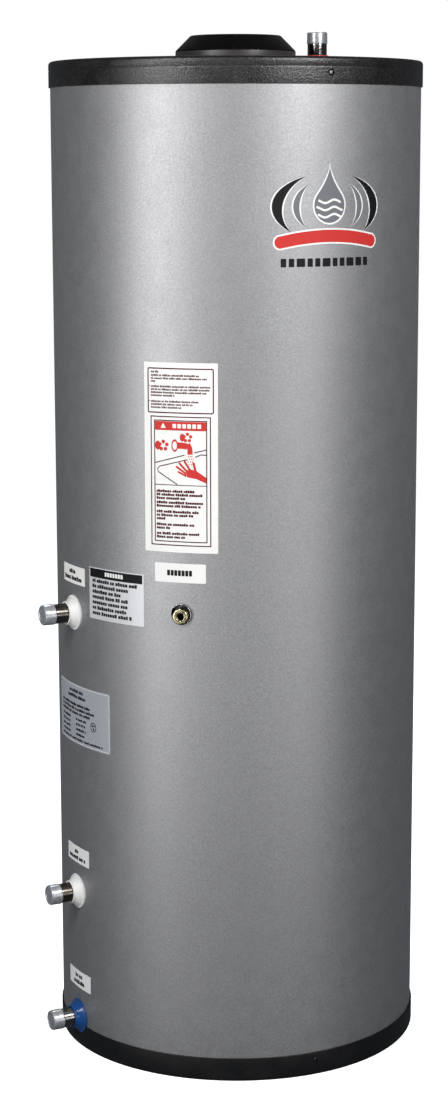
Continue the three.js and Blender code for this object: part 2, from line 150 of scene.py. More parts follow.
def add_object(name, bm, place=Matrix()):
    """Turns millimetres into metres and links the mesh as a new object."""
    bmesh.ops.recalc_face_normals(bm, faces=bm.faces)
    bmesh.ops.scale(bm, vec=(MM, MM, MM), verts=bm.verts)
    mesh = bpy.data.meshes.new(name)
    bm.to_mesh(mesh)
    bm.free()
    shade(mesh)
    obj = bpy.data.objects.new(name, mesh)
    obj.matrix_world = place
    bpy.context.scene.collection.objects.link(obj)
    return obj


def apply_modifiers(obj):
    graph = bpy.context.evaluated_depsgraph_get()
    mesh = bpy.data.meshes.new_from_object(obj.evaluated_get(graph))
    obj.modifiers.clear()
    obj.data = mesh
    shade(mesh)
    return obj


def bevel(obj, width, segments=3, angle=35):
    modifier = obj.modifiers.new("bevel", "BEVEL")
    modifier.width = width * MM
    modifier.segments = segments
    modifier.limit_method = "ANGLE"
    modifier.angle_limit = math.radians(angle)
    return apply_modifiers(obj)


def cut(obj, *cutters):
    """Takes the cutters' volumes out of an object and deletes them."""
    for cutter in cutters:
        modifier = obj.modifiers.new("cut", "BOOLEAN")
        modifier.operation = "DIFFERENCE"
        modifier.solver = "EXACT"
        modifier.object = cutter
    apply_modifiers(obj)
    for cutter in cutters:
        bpy.data.objects.remove(cutter)
    return obj


def fillet(corners, steps=6):
    """A profile whose corners, given as (radius, height, bend), are rounded where bend is set."""
    points = []
    count = len(corners)
    for i, corner in enumerate(corners):
        here = Vector(corner[:2])
        bend = corner[2] if len(corner) > 2 else 0
        if not bend:
            points.append(tuple(here))
            continue
        back = (Vector(corners[i - 1][:2]) - here).normalized()
        ahead = (Vector(corners[(i + 1) % count][:2]) - here).normalized()
        half = back.angle(ahead) / 2
        centre = here + (back + ahead).normalized() * bend / math.sin(half)
        start = here + back * bend / math.tan(half) - centre
        end = here + ahead * bend / math.tan(half) - centre
        sweep = start.angle_signed(end)
        for step in range(steps + 1):
            turn = Matrix.Rotation(-sweep * step / steps, 2)
            points.append(tuple(centre + turn @ start))
    return points


def revolve(name, profile, place=Matrix(), segments=ROUND):
    """A closed profile of (radius, height) points turned around the local Z axis."""
    bm = bmesh.new()
    turns = [2 * math.pi * i / segments for i in range(segments)]
    rings = []
    for radius, height in profile:
        if radius < 1e-6:
            rings.append([bm.verts.new((0, 0, height))])
        else:
            rings.append([bm.verts.new((radius * math.cos(t), radius * math.sin(t), height)) for t in turns])
    for a, b in zip(rings, rings[1:] + rings[:1]):
        if len(a) == 1 and len(b) == 1:
            continue
        for i in range(segments):
            j = (i + 1) % segments
            corners = [a[i % len(a)], a[j % len(a)], b[j % len(b)], b[i % len(b)]]
            bm.faces.new(list(dict.fromkeys(corners)))
    return add_object(name, bm, place)


def join_rings(bm, rings):
    """Walls between rings that have the same number of corners, and from the last to the first."""
    count = len(rings[0])
    for a, b in zip(rings, rings[1:] + rings[:1]):
        for i in range(count):
            j = (i + 1) % count
            bm.faces.new((a[i], a[j], b[j], b[i]))


def rod(radius, bottom, top, place=Matrix(), segments=ROUND):
    return revolve("cutter", [(0, bottom), (radius, bottom), (radius, top), (0, top)], place, segments)


def levels(start, end, step):
    count = math.ceil(abs(end - start) / step)
    return [start + (end - start) * i / count for i in range(count + 1)]


def finish(obj, material, slot, body="heater", replaces=()):
    """Gives a piece its material, by name, its body and the CAD nodes it stands for; the slot is not used.
    """
    obj.data.materials.clear()
    obj.data.materials.append(MATERIALS[material])
    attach(obj, body)
    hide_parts(*replaces)
    return obj


# ---- Material helpers ----
class Look:
    """A procedural material around one Principled shader, in each object's own coordinates."""

    def __init__(self, name, roughness, metallic=0.0, **sockets):
        self.material = bpy.data.materials.new(name)
        self.material.use_nodes = True
        self.tree = self.material.node_tree
        self.shader = self.tree.nodes["Principled BSDF"]
        self.shader.inputs["Roughness"].default_value = roughness
        self.shader.inputs["Metallic"].default_value = metallic
        for socket, value in sockets.items():
            self.shader.inputs[socket.replace("_", " ")].default_value = value
        self.position = self.add("ShaderNodeTexCoord").outputs["Object"]

    def add(self, kind, **settings):
        node = self.tree.nodes.new(kind)
        for setting, value in settings.items():
            setattr(node, setting, value)
        return node

    def feed(self, socket, source):
        if hasattr(source, "is_output"):
            self.tree.links.new(source, socket)
        else:
            socket.default_value = source

    def stretched(self, stretch):
        node = self.add("ShaderNodeMapping")
        node.inputs["Scale"].default_value = stretch
        self.feed(node.inputs["Vector"], self.position)
        return node.outputs["Vector"]

    def noise(self, size, detail=2.0, stretch=None):
        """Noise from 0 to 1, with blotches about size millimetres across."""
        node = self.add("ShaderNodeTexNoise")
        node.inputs["Scale"].default_value = 1 / (size * MM)
        node.inputs["Detail"].default_value = detail
        self.feed(node.inputs["Vector"], self.stretched(stretch) if stretch else self.position)
        return node.outputs["Fac"]

    def cells(self, size):
        """Distance to the nearest of scattered points about size millimetres apart."""
        node = self.add("ShaderNodeTexVoronoi")
        node.inputs["Scale"].default_value = 1 / (size * MM)
        self.feed(node.inputs["Vector"], self.position)
        return node.outputs["Distance"]

    def height_between(self, bottom, top):
        """0 below one height of the tank and 1 above another."""
        parts = self.add("ShaderNodeSeparateXYZ")
        self.feed(parts.inputs["Vector"], self.position)
        return self.span(parts.outputs["Z"], 0, 1, bottom * MM, top * MM)

    def span(self, value, low_end, high_end, start=0.35, end=0.65):
        node = self.add("ShaderNodeMapRange")
        self.feed(node.inputs["Value"], value)
        ends = {"From Min": start, "From Max": end, "To Min": low_end, "To Max": high_end}
        for socket, number in ends.items():
            node.inputs[socket].default_value = number
        return node.outputs["Result"]

    def math(self, operation, a, b):
        node = self.add("ShaderNodeMath", operation=operation)
        self.feed(node.inputs[0], a)
        self.feed(node.inputs[1], b)
        return node.outputs["Value"]

    def mix(self, factor, a, b):
        node = self.add("ShaderNodeMix", data_type="RGBA")
        self.feed(node.inputs["Factor"], factor)
        self.feed(node.inputs["A"], a)
        self.feed(node.inputs["B"], b)
        return node.outputs["Result"]

    def colour(self, source):
        self.feed(self.shader.inputs["Base Color"], source)

    def roughness(self, value, low_end, high_end):
        self.feed(self.shader.inputs["Roughness"], self.span(value, low_end, high_end))

    def bump(self, height, depth):
        """Bumps depth millimetres high, on top of any set before."""
        node = self.add("ShaderNodeBump")
        node.inputs["Distance"].default_value = depth * MM
        self.feed(node.inputs["Height"], height)
        normal = self.shader.inputs["Normal"]
        if normal.is_linked:
            self.feed(node.inputs["Normal"], normal.links[0].from_socket)
        self.feed(normal, node.outputs["Normal"])


def linear(value):
    return value / 12.92 if value <= 0.04045 else ((value + 0.055) / 1.055) ** 2.4


def rgb(code, gain=1.0):
    """A colour from its hexadecimal screen code, brightened or darkened by a gain."""
    parts = [linear(int(code[i : i + 2], 16) / 255) * gain for i in (0, 2, 4)]
    return (*parts, 1.0)


def plain_look(
    name, code, roughness, metallic=0.0, blotch=25, grain=1.2, spread=0.08, relief=0.02, **sockets
):
    """A material with soft blotches and fine grain in its colour, roughness and surface."""
    look = Look(name, roughness, metallic, **sockets)
    soft = look.noise(blotch)
    fine = look.noise(grain)
    blend = look.math("ADD", look.math("MULTIPLY", soft, 0.6), look.math("MULTIPLY", fine, 0.4))
    look.colour(look.mix(blend, rgb(code, 1 - spread), rgb(code, 1 + spread)))
    look.roughness(soft, max(0.03, roughness - 0.06), min(1, roughness + 0.06))
    look.bump(fine, relief)
    return look.material


def jacket_paint():
    """Silver paint: metallic flakes, faint orange peel, slow waves in the sheet, dust low down."""
    look = Look("jacket_paint", 0.52, 0.82)
    flakes = look.noise(2.6, detail=3)
    drift = look.noise(180)
    low_down = look.math("SUBTRACT", 1.0, look.height_between(PAN_TOP, 90))
    dust = look.math("MULTIPLY", low_down, look.span(look.noise(14, detail=4), 0.0, 0.3))
    base = look.mix(look.span(flakes, 0, 1, 0.3, 0.7), rgb("8e8e90"), rgb("a6a6a7"))
    toned = look.mix(look.span(drift, 0, 0.3), base, rgb("9c9b9b"))
    look.colour(look.mix(dust, toned, rgb("7d7a75")))
    look.roughness(look.noise(30, detail=3), 0.5, 0.54)
    look.bump(look.noise(240), 0.6)
    look.bump(look.noise(1.6, detail=2), 0.012)
    return look.material


def pebbled_plastic(name, code, light, roughness, size, depth, shine=0.5):
    """Black moulded plastic with a pebbled surface whose crests are painted paler, as painted glints, more
    in some patches than others.
    """
    look = Look(name, roughness, Specular_IOR_Level=shine)
    pebbles = look.noise(size, detail=3)
    # the paler crests stand for glints on the pebbles: painted highlight
    crests = look.span(pebbles, 0, 1, 0.42, 0.66)
    glint_patches = look.span(look.noise(60, detail=4), 0.75, 1.0)
    look.colour(look.mix(look.math("MULTIPLY", crests, glint_patches), rgb(code), rgb(light)))
    look.roughness(look.noise(40), roughness - 0.06, roughness + 0.06)
    look.bump(pebbles, depth)
    return look.material


def turned_metal(name, code, roughness, relief=0.03):
    """Metal with fine rings around its own axis."""
    look = Look(name, roughness, 1.0)
    rings = look.noise(1.5, detail=3, stretch=(0.04, 0.04, 1))
    stains = look.noise(9, detail=4)
    look.colour(look.mix(look.span(stains, 0, 1, 0.45, 0.8), rgb(code), rgb(code, 0.66)))
    look.roughness(stains, roughness - 0.05, roughness + 0.08)
    look.bump(rings, relief)
    return look.material


def paper(name, code, roughness=0.5, metallic=0.0):
    """Printed label stock: nearly even and faintly mottled."""
    look = Look(name, roughness, metallic, Specular_IOR_Level=0.2)
    fibres = look.noise(1.8, detail=4)
    look.colour(look.mix(look.noise(35), rgb(code, 0.95), rgb(code, 1.03)))
    look.roughness(fibres, roughness - 0.05, roughness + 0.08)
    look.bump(fibres, 0.01)
    return look.material


def foam_look(name, code):
    """Rigid sprayed foam: cells, browned patches and a lumpy skin."""
    look = Look(name, 0.95)
    cells = look.cells(3)
    lumps = look.noise(28, detail=4)
    look.colour(look.mix(look.span(lumps, 0, 1, 0.3, 0.7), rgb(code, 0.72), rgb(code)))
    look.bump(cells, 0.5)
    look.bump(lumps, 3)
    return look.material


MATERIALS = {
    "paint": jacket_paint(),
    "cover": pebbled_plastic("cover_black_plastic", "040404", "2a2624", 0.34, 2.6, 0.7, shine=0.55),
    "cover_top": pebbled_plastic("cover_top_plastic", "080808", "282624", 0.8, 2.6, 0.3, shine=0.15),
    "pan": pebbled_plastic("pan_black_plastic", "050506", "151516", 0.45, 2.4, 0.16, shine=0.36),
    "lid": pebbled_plastic("lid_black_plastic", "030303", "0c0b0c", 0.62, 2.6, 0.6, shine=0.08),
    "lid_ring": plain_look("lid_ring_plastic", "353232", 0.32, grain=3, blotch=30, spread=0.25),
    # near black for the faces inside the cover's screw recesses: painted shade
    "recess": plain_look("screw_recess_painted_shade", "030303", 0.9, blotch=3, grain=1, Specular_IOR_Level=0.1),
    "steel": turned_metal("nipple_steel", "7d7b78", 0.14),
    "sleeve_steel": turned_metal("sleeve_steel", "b9b9b8", 0.08, 0.01),
    "dark_steel": turned_metal("pipe_dark_steel", "58534d", 0.18, 0.05),
    "inner_steel": plain_look("inner_steel", "a4a7aa", 0.4, 1.0, blotch=60, grain=3, relief=0.05),
    "plain_steel": plain_look("support_steel", "6f7174", 0.5, 1.0, blotch=40, grain=2, spread=0.2,
                              relief=0.08),
    "zinc": turned_metal("screw_zinc", "c9c9c6", 0.24),
    "dark_screw": plain_look("screw_blackened_zinc", "2b2b2d", 0.3, 0.8, blotch=2, grain=0.5),
    "black_screw": plain_look("screw_grey", "8b8c8e", 0.35, 0.8, blotch=2, grain=0.5),
    "brass": turned_metal("well_brass", "c6bb9a", 0.2, 0.012),
    "foam": foam_look("insulation_foam", "dcc894"),
    "white": plain_look("collar_white_plastic", "d9d8d5", 0.45, blotch=18, grain=1, spread=0.04),
    "blue": plain_look("collar_blue_plastic", "1a437c", 0.16, blotch=14, grain=1, spread=0.2),
    "red": plain_look("collar_red_plastic", "c3262a", 0.38, blotch=14, grain=1, spread=0.1),
    "cap": plain_look("thread_cap_plastic", "a3a6a9", 0.3, 0.55, blotch=7, grain=0.8, spread=0.14),
    "paper": paper("label_paper", "dbdbd8", 0.55),
    "foil": paper("label_foil", "cdced0", 0.45, 0.3),
    "plate_foil": paper("plate_foil", "adb1b7", 0.45, 0.35),
    "ink_black": paper("ink_black", "0b0b0d", 0.6),
    "ink_maroon": paper("ink_maroon", "45080d", 0.6),
    "ink_red": paper("ink_red", "b9302c", 0.6),
    "ink_white": paper("ink_white", "dcdcda", 0.6),
    "ink_grey": paper("ink_grey", "67696d", 0.5),
    "ink_dark": paper("ink_dark_grey", "1d1e21", 0.6),
}


# ---- Casing ----
def steel_wrap():
    """The jacket's sheet, with its openings for the pipes and the control port."""
    bottom, top = low("jacket", Z), high("jacket", Z)
    outside = [(JACKET_R, z) for z in levels(bottom, top, 40)]
    inside = [(JACKET_R - JACKET_WALL, z) for z in levels(top, bottom, 40)]
    wrap = revolve("jacket_skin", outside + inside, segments=SKIN)
    reach = (JACKET_R - 10, JACKET_R + 10)
    holes = [rod(PIPE_R + 1, *reach, outwards(SIDE_ANGLE, z), 48) for z in (SUPPLY_Z, RETURN_Z, COLD_Z)]
    holes.append(rod(SLEEVE_R + 0.4, *reach, outwards(SLEEVE_ANGLE, SLEEVE_Z), 64))
    cut(wrap, *holes)
    finish(wrap, "paint", "jacket_paint", replaces=["jacket"])


def base_pan():
    """The dish under the tank, notched for the cold connection's collar."""
    wall = JACKET_R + FIT
    profile = fillet([
        (0, 0),
        (PAN_R, 0, 5),
        (PAN_R, PAN_TOP, 0.9),
        (wall, PAN_TOP, 0.9),
        (wall, 4),
        (0, 4),
    ])
    pan = revolve("base_pan_moulding", profile, segments=SKIN)
    cut(pan, rod(FLANGE_R + 1, JACKET_R - 15, JACKET_R + 15, outwards(SIDE_ANGLE, COLD_Z)))
    finish(pan, "pan", "pan_plastic", replaces=["base_pan"])


def top_cover():
    """The cap over the jacket, with a groove round its rim and a recess for each screw, whose faces are
    painted near black as painted shade.
    """
    wall = JACKET_R + FIT
    under = COVER_TOP - COVER_PLATE
    groove = COVER_TOP - GROOVE_DROP
    height = middle("top_cover_screw_1", Z)
    profile = fillet([
        (COVER_OPENING, under),
        (wall - 1.8, under),
        (wall, under - 1.8),
        (wall, COVER_BOTTOM, 0.6),
        (COVER_R, COVER_BOTTOM, 0.9),
        (COVER_R, height - RECESS_R - 1),
        (COVER_R, height + RECESS_R + 1),
        (COVER_R, groove - 1.2),
        (COVER_R - 0.5, groove),
        (COVER_R, groove + 1.2),
        (COVER_R, COVER_TOP, 6),
        (LID_R + 9, COVER_TOP, 1),
        (LID_R + 8, COVER_TOP - 0.8, 1),
        (LID_R + 2, COVER_TOP - 0.8),
        (LID_R + 1.6, COVER_TOP),
        (COVER_OPENING, COVER_TOP, 0.8),
    ])
    cover = revolve("top_cover_moulding", profile, segments=SKIN)
    hole = rod(PIPE_R + 1, under - 2, COVER_TOP + 2, upright(HOT_X))
    recesses = []
    for angle in (0, 120, 240):
        recesses.append(rod(RECESS_R, COVER_R - RECESS_DEPTH, COVER_R + 5, outwards(angle, height), 48))
    cut(cover, hole, *recesses)
    finish(cover, "cover", "cover_plastic", replaces=["top_cover"])
    cover.data.materials.append(MATERIALS["recess"])
    cover.data.materials.append(MATERIALS["cover_top"])
    # faces inside each screw recess get the near-black material, as painted shade; flat top faces get the
    # duller top material
    for face in cover.data.polygons:
        reach = Vector(face.center[:2]).length / MM
        near = abs(face.center.z / MM - height) < 7
        if near and JACKET_R + 0.5 < reach < COVER_R - 0.15:
            face.material_index = 1
        elif face.normal.z > 0.7 and reach < COVER_R - 2:
            face.material_index = 2


def access_lid():
    """The raised lid: a cone over an upright ring, and a spigot that stands in the cover's opening."""
    bottom = low("hot_collar", Z)
    spigot_end = low("access_lid", Z)
    spigot = LID_FLAT + 0.2
    inner = LID_R - LID_WALL
    profile = fillet([
        (0, LID_TOP),
        (LID_FLAT, LID_TOP, 3),
        (LID_R - 0.6, LID_SHOULDER + 0.6, 1.2),
        (LID_R, LID_SHOULDER - 1.5, 0.8),
        (LID_R, bottom, 1),
        (inner, bottom),
        (inner, LID_SHOULDER - 1, 1.5),
        (spigot, LID_SHOULDER - 1 + inner - spigot),
        (spigot, spigot_end, 0.8),
        (spigot - LID_WALL, spigot_end, 0.8),
        (spigot - LID_WALL, LID_TOP - LID_WALL),
        (0, LID_TOP - LID_WALL),
    ])
    lid = revolve("access_lid_moulding", profile, segments=192)
    finish(lid, "lid", "lid_plastic", "lid", ["access_lid"])
    lid.data.materials.append(MATERIALS["lid_ring"])
    for face in lid.data.polygons:
        outer = Vector(face.center[:2]).length > (LID_R - 1) * MM
        face.material_index = int(outer and face.center.z < (LID_SHOULDER - 1) * MM)


def rear_seam():
    """The strip that closes the wrap, with its folded edges and a column of rivets."""
    node = "jacket_seam_strip"
    half = (high(node, X) - low(node, X)) / 2
    bottom, top = low(node, Z), high(node, Z)
    strip = lay("jacket_seam_strip_sheet", [box(-half, bottom, half, top)], 180, 0, 0.1, 0.7)
    finish(strip, "paint", "jacket_paint", replaces=[node])
    for side, name in ((-1, "left"), (1, "right")):
        u = side * (half - 1.6)
        fold = lay(f"jacket_seam_fold_{name}", [box(u - 1.2, bottom, u + 1.2, top)], 180, 0, 0.82, 0.35)
        finish(fold, "paint", "jacket_paint")
    seat = JACKET_R + 0.7
    head = fillet([(0, seat), (3, seat), (3, seat + 0.4, 0.3), (1.8, seat + 1.3, 0.8), (0, seat + 1.4)])
    for i, z in enumerate(levels(bottom + 60, top - 60, 130)):
        rivet = revolve(f"jacket_seam_rivet_{i + 1}", head, outwards(180, z), 24)
        finish(rivet, "zinc", "screw_zinc")


def screws(prefix, material, slot):
    """Pan-head screws with a cross recess, one for each CAD screw of this name."""
    for i in range(1, 4):
        node = f"{prefix}_{i}"
        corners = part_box(node)
        place = outwards(angle_of(sum(corners, Vector()) / 2), middle(node, Z))
        radius = (high(node, Z) - low(node, Z)) / 2
        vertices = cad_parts[node].data.vertices
        seat = max(Vector(vertex.co[:2]).length for vertex in vertices) / MM - SCREW_BULGE
        profile = fillet([
            (0, SCREW_TIP),
            (1.6, SCREW_TIP + 1.5),
            (1.6, seat),
            (radius, seat),
            (radius, seat + 0.6, 0.3),
            (0.62 * radius, seat + 1.5, 0.8),
            (0, seat + SCREW_BULGE),
        ])
        screw = revolve(f"{node}_head", profile, place, 48)
        for turn in (0, 90):
            bm = bmesh.new()
            bmesh.ops.create_cube(bm, size=1)
            bmesh.ops.scale(bm, vec=(1.15 * radius, 0.26 * radius, 1.6), verts=bm.verts)
            bmesh.ops.translate(bm, vec=(0, 0, seat + 1.5), verts=bm.verts)
            spin = Matrix.Rotation(math.radians(turn + 20 * i), 4, "Z")
            cut(screw, add_object("cutter", bm, place @ spin))
        finish(screw, material, slot, replaces=[node])


# ---- Pipes ----
def threaded_pipe(name, start, end, place, nodes, material):
    """A pipe with a bored end and a helical thread over its last stretch."""
    segments = 64
    thread_start = end - THREAD_LENGTH
    rings = [[(PIPE_R, height)] * segments for height in (start, thread_start - 1.2)]
    for height in levels(thread_start, end - 1, THREAD_PITCH / 8):
        fade = min(1, (height - thread_start) / THREAD_PITCH, (end - 1 - height) / 1.5 + 0.2)
        ring = []
        for i in range(segments):
            phase = (height / THREAD_PITCH - i / segments) % 1
            crest = 1 - abs(2 * phase - 1)
            ring.append((PIPE_R - 0.1 - THREAD_DEPTH * fade * (1 - crest), height))
        rings.append(ring)
    for point in (
        (PIPE_R - THREAD_DEPTH, end),
        (PIPE_BORE + 0.6, end),
        (PIPE_BORE, end - 0.8),
        (PIPE_BORE, start),
    ):
        rings.append([point] * segments)
    bm = bmesh.new()
    turns = [2 * math.pi * i / segments for i in range(segments)]
    made = []
    for ring in rings:
        made.append([bm.verts.new((r * math.cos(t), r * math.sin(t), z)) for (r, z), t in zip(ring, turns)])
    join_rings(bm, made)
    pipe = add_object(name, bm, place)
    finish(pipe, material, "pipe_steel", replaces=nodes)


def thread_cap(prefix, end, place):
    """A push-on plastic cap with a rounded, slightly dished end and a bead around its rim."""
    rim = end - CAP_LENGTH
    profile = fillet([
        (0, end - 0.9),
        (11.5, end - 0.9, 0.6),
        (12.4, end, 0.6),
        (CAP_R - 0.5, end, 2.2),
        (CAP_R - 0.1, rim + 2.4, 0.4),
        (CAP_R, rim + 2, 0.4),
        (CAP_R, rim, 0.4),
        (CAP_BORE, rim, 0.3),
        (CAP_BORE, end - 2.2),
        (0, end - 2.2),
    ])
    cap = revolve(f"{prefix}_thread_cap_moulding", profile, place)
    finish(cap, "cap", "cap_plastic", f"{prefix}_cap", [f"{prefix}_thread_cap"])


def collar_profile(seat, depth, height):
    """A flange that narrows in a cone to a boss with a lip."""
    return fillet([
        (COLLAR_BORE, seat - depth),
        (FLANGE_R, seat - depth),
        (FLANGE_R, seat + 2.2, 1),
        (FLANGE_R - 2.6, seat + 2.6, 0.8),
        (20.4, seat + 0.66 * height, 2),
        (19.2, seat + 0.8 * height, 0.8),
        (19.4, seat + height, 0.7),
        (COLLAR_BORE, seat + height, 0.5),
    ])


def side_connection(prefix, height, colour, pipe_start, node, steel):
    """A connection on the tank's side: its collar, its capped pipe and the cap."""
    place = outwards(SIDE_ANGLE, height)
    profile = collar_profile(JACKET_R, COLLAR_DEPTH, COLLAR_HEIGHT)
    collar = revolve(f"{prefix}_collar_moulding", profile, place)
    cut(collar, rod(JACKET_R + 0.2, height - 60, height + 60, segments=SKIN))
    finish(collar, colour, f"{colour}_plastic", replaces=[f"{prefix}_collar"])
    cap_end = -low(f"{prefix}_thread_cap", X)
    thread_cap(prefix, cap_end, place)
    pipe_end = cap_end - CAP_RIM_SETBACK
    threaded_pipe(f"{prefix}_pipe_end", pipe_start, pipe_end, place, [node], steel)


def cold_elbow():
    """The buried stretch of the cold pipe, which turns up into the bottom head."""
    bm = bmesh.new()
    segments = 48
    bend = ELBOW_START
    top = high("cold_inlet_pipe", Z) - COLD_Z
    stations = [((0, bend, top), 90), ((0, bend, bend), 90)]
    for i in range(1, 12):
        turn = math.pi / 2 * (1 - i / 12)
        centre = (0, bend - bend * math.cos(turn), bend - bend * math.sin(turn))
        stations.append((centre, math.degrees(turn)))
    stations.append(((0, 0, bend), 0))
    rings = []
    for radius, path in ((PIPE_R, stations), (PIPE_BORE, stations[::-1])):
        circle = disc(0, 0, radius, segments)
        for centre, tilt in path:
            lean = Matrix.Rotation(math.radians(-tilt), 3, "X")
            rings.append([bm.verts.new(Vector(centre) + lean @ Vector((*point, 0))) for point in circle])
    join_rings(bm, rings)
    elbow = add_object("cold_pipe_elbow", bm, outwards(SIDE_ANGLE, COLD_Z))
    finish(elbow, "inner_steel", "stainless", replaces=["cold_inlet_pipe"])


def hot_connection():
    """The connection on the top: its collar, its capped pipe and the cap."""
    place = upright(HOT_X)
    profile = collar_profile(COVER_TOP + 0.2, 0, HOT_COLLAR_HEIGHT)
    collar = revolve("hot_collar_moulding", profile, place)
    finish(collar, "red", "red_plastic", replaces=["hot_collar"])
    thread_cap("hot", HOT_CAP_END, place)
    node = "hot_outlet_nipple"
    pipe_end = HOT_CAP_END - CAP_RIM_SETBACK
    threaded_pipe("hot_pipe_end", low(node, Z), pipe_end, place, [node], "steel")


def control_port():
    """A steel sleeve in the jacket with the brass sensor well hanging a little low in it."""
    sleeve = fillet([
        (SLEEVE_BORE, SLEEVE_START),
        (SLEEVE_R, SLEEVE_START),
        (SLEEVE_R, SLEEVE_END, 0.45),
        (SLEEVE_BORE, SLEEVE_END, 0.45),
    ])
    tube = revolve("control_sleeve_tube", sleeve, outwards(SLEEVE_ANGLE, SLEEVE_Z))
    finish(tube, "sleeve_steel", "stainless", replaces=["control_sleeve"])
    well = fillet([
        (0, WELL_TIP),
        (WELL_TUBE_R, WELL_TIP, 1),
        (WELL_TUBE_R, WELL_HEAD_START),
        (WELL_HEAD_R, WELL_HEAD_START, 0.6),
        (WELL_HEAD_R, WELL_END - 6),
        (WELL_HEAD_R - 0.4, WELL_END - 5.5),
        (WELL_HEAD_R, WELL_END - 5),
        (WELL_HEAD_R, WELL_END, 1.4),
        (WELL_BORE + 1.45, WELL_END, 0.6),
        (WELL_BORE, WELL_END - 2),
        (WELL_BORE, WELL_TIP + 2),
        (0, WELL_TIP + 2),
    ])
    brass = revolve("control_well_turning", well, outwards(SLEEVE_ANGLE, WELL_Z))
    finish(brass, "brass", "brass", replaces=["control_well"])


def relief_port():
    """The plugged relief opening in the tank's top, under the access lid."""
    bottom, top = low("relief_port_coupling", Z), high("relief_port_coupling", Z)
    outer, bore = high("relief_port_coupling", X), 17
    profile = fillet([(bore, bottom), (outer, bottom), (outer, top, 1), (bore, top, 0.8)])
    ring = revolve("relief_coupling_ring", profile)
    finish(ring, "inner_steel", "stainless", replaces=["relief_port_coupling"])
    thread, start, shoulder = bore - 0.6, bottom + 8, top + 1
    profile = fillet([(0, start), (thread, start), (thread, shoulder, 0.8), (0, shoulder)])
    body = revolve("relief_plug_body", profile)
    finish(body, "brass", "brass", replaces=["relief_port_plug"])
    hexagon = rod(15, shoulder + 0.1, high("relief_port_plug", Z), segments=6)
    hexagon.name = "relief_plug_hexagon"
    bevel(hexagon, 0.9)
    finish(hexagon, "brass", "brass")


# ---- Labels ----
STRIP = 5  # widest flat strip of a curved sheet


def lay(name, shapes, angle, height, level, thickness):
    """Flat shapes, right and up from a point on the jacket, bent round it as a thin solid."""
    bm = bmesh.new()
    for points in shapes:
        bm.faces.new([bm.verts.new((u, v, level)) for u, v in points])
    bm.normal_update()
    bmesh.ops.triangulate(bm, faces=bm.faces)
    reach = max(abs(vertex.co.x) for vertex in bm.verts)
    count = int(reach / STRIP)
    for i in range(-count, count + 1):
        everything = bm.verts[:] + bm.edges[:] + bm.faces[:]
        bmesh.ops.bisect_plane(bm, geom=everything, plane_co=(i * STRIP, 0, 0), plane_no=(1, 0, 0))
    raised = bmesh.ops.extrude_face_region(bm, geom=bm.faces[:], use_keep_orig=True)["geom"]
    lifted = [part for part in raised if isinstance(part, bmesh.types.BMVert)]
    bmesh.ops.translate(bm, vec=(0, 0, thickness), verts=lifted)
    bmesh.ops.recalc_face_normals(bm, faces=bm.faces)
    for vertex in bm.verts:
        u, v, out = vertex.co
        turn = math.radians(angle) + u / JACKET_R
        radius = JACKET_R + out
        vertex.co = (radius * math.sin(turn), -radius * math.cos(turn), height + v)
    return add_object(name, bm)


def box(left, bottom, right, top, bend=0.0):
    """A rectangle, with rounded corners if bend is set."""
    corners = [(left, bottom, bend), (right, bottom, bend), (right, top, bend), (left, top, bend)]
    return fillet(corners, 5)


def border(left, bottom, right, top, line, bend=0.0):
    """The outline of a rectangle as four bars and, where it is rounded, four corner pieces."""
    shapes = [
        box(left + bend, bottom, right - bend, bottom + line),
        box(left + bend, top - line, right - bend, top),
        box(left, bottom + max(bend, line), left + line, top - max(bend, line)),
        box(right - line, bottom + max(bend, line), right, top - max(bend, line)),
    ]
    if bend:
        for u, v, start in (
            (right - bend, top - bend, 0),
            (left + bend, top - bend, 90),
            (left + bend, bottom + bend, 180),
            (right - bend, bottom + bend, 270),
        ):
            shapes.append(arc_band(u, v, bend - line / 2, line, start, start + 90, 5))
    return shapes


def arc_band(u, v, radius, line, start, end, steps=24, squash=1.0, taper=False):
    """A band along an arc, in degrees, that may thin out towards its ends."""
    outer, inner = [], []
    for i in range(steps + 1):
        share = i / steps
        turn = math.radians(start + (end - start) * share)
        half = line / 2 * (max(0.04, math.sin(math.pi * share)) if taper else 1)
        outer.append((u + (radius + half) * math.cos(turn), v + squash * (radius + half) * math.sin(turn)))
        inner.append((u + (radius - half) * math.cos(turn), v + squash * (radius - half) * math.sin(turn)))
    return outer + inner[::-1]


def disc(u, v, radius, steps=32, squash=1.0):
    turns = [2 * math.pi * i / steps for i in range(steps)]
    return [(u + radius * math.cos(t), v + squash * radius * math.sin(t)) for t in turns]


def band(points, line):
    """A band of even width along a line of points."""
    left, right = [], []
    for i, point in enumerate(points):
        before = Vector(points[max(i - 1, 0)])
        after = Vector(points[min(i + 1, len(points) - 1)])
        across = (after - before).normalized().orthogonal() * line / 2
        left.append(tuple(Vector(point) + across))
        right.append(tuple(Vector(point) - across))
    return left + right[::-1]


def blocks(left, base, width, height, rng, heavy):
    """A line of small blocks in word-sized groups, which stands for a line of print."""
    shapes = []
    u = left
    end = left + width
    while u < end - 0.4 * height:
        for _ in range(rng.randint(2, 8)):
            wide = height * (rng.uniform(0.6, 0.9) if heavy else rng.uniform(0.5, 0.75))
            if u + wide > end:
                break
            tall = height * rng.choice((0.8, 0.8, 1.0))
            shapes.append(box(u, base, u + wide, base + tall))
            u += wide + height * (0.1 if heavy else 0.13)
        u += 0.4 * height
    return shapes


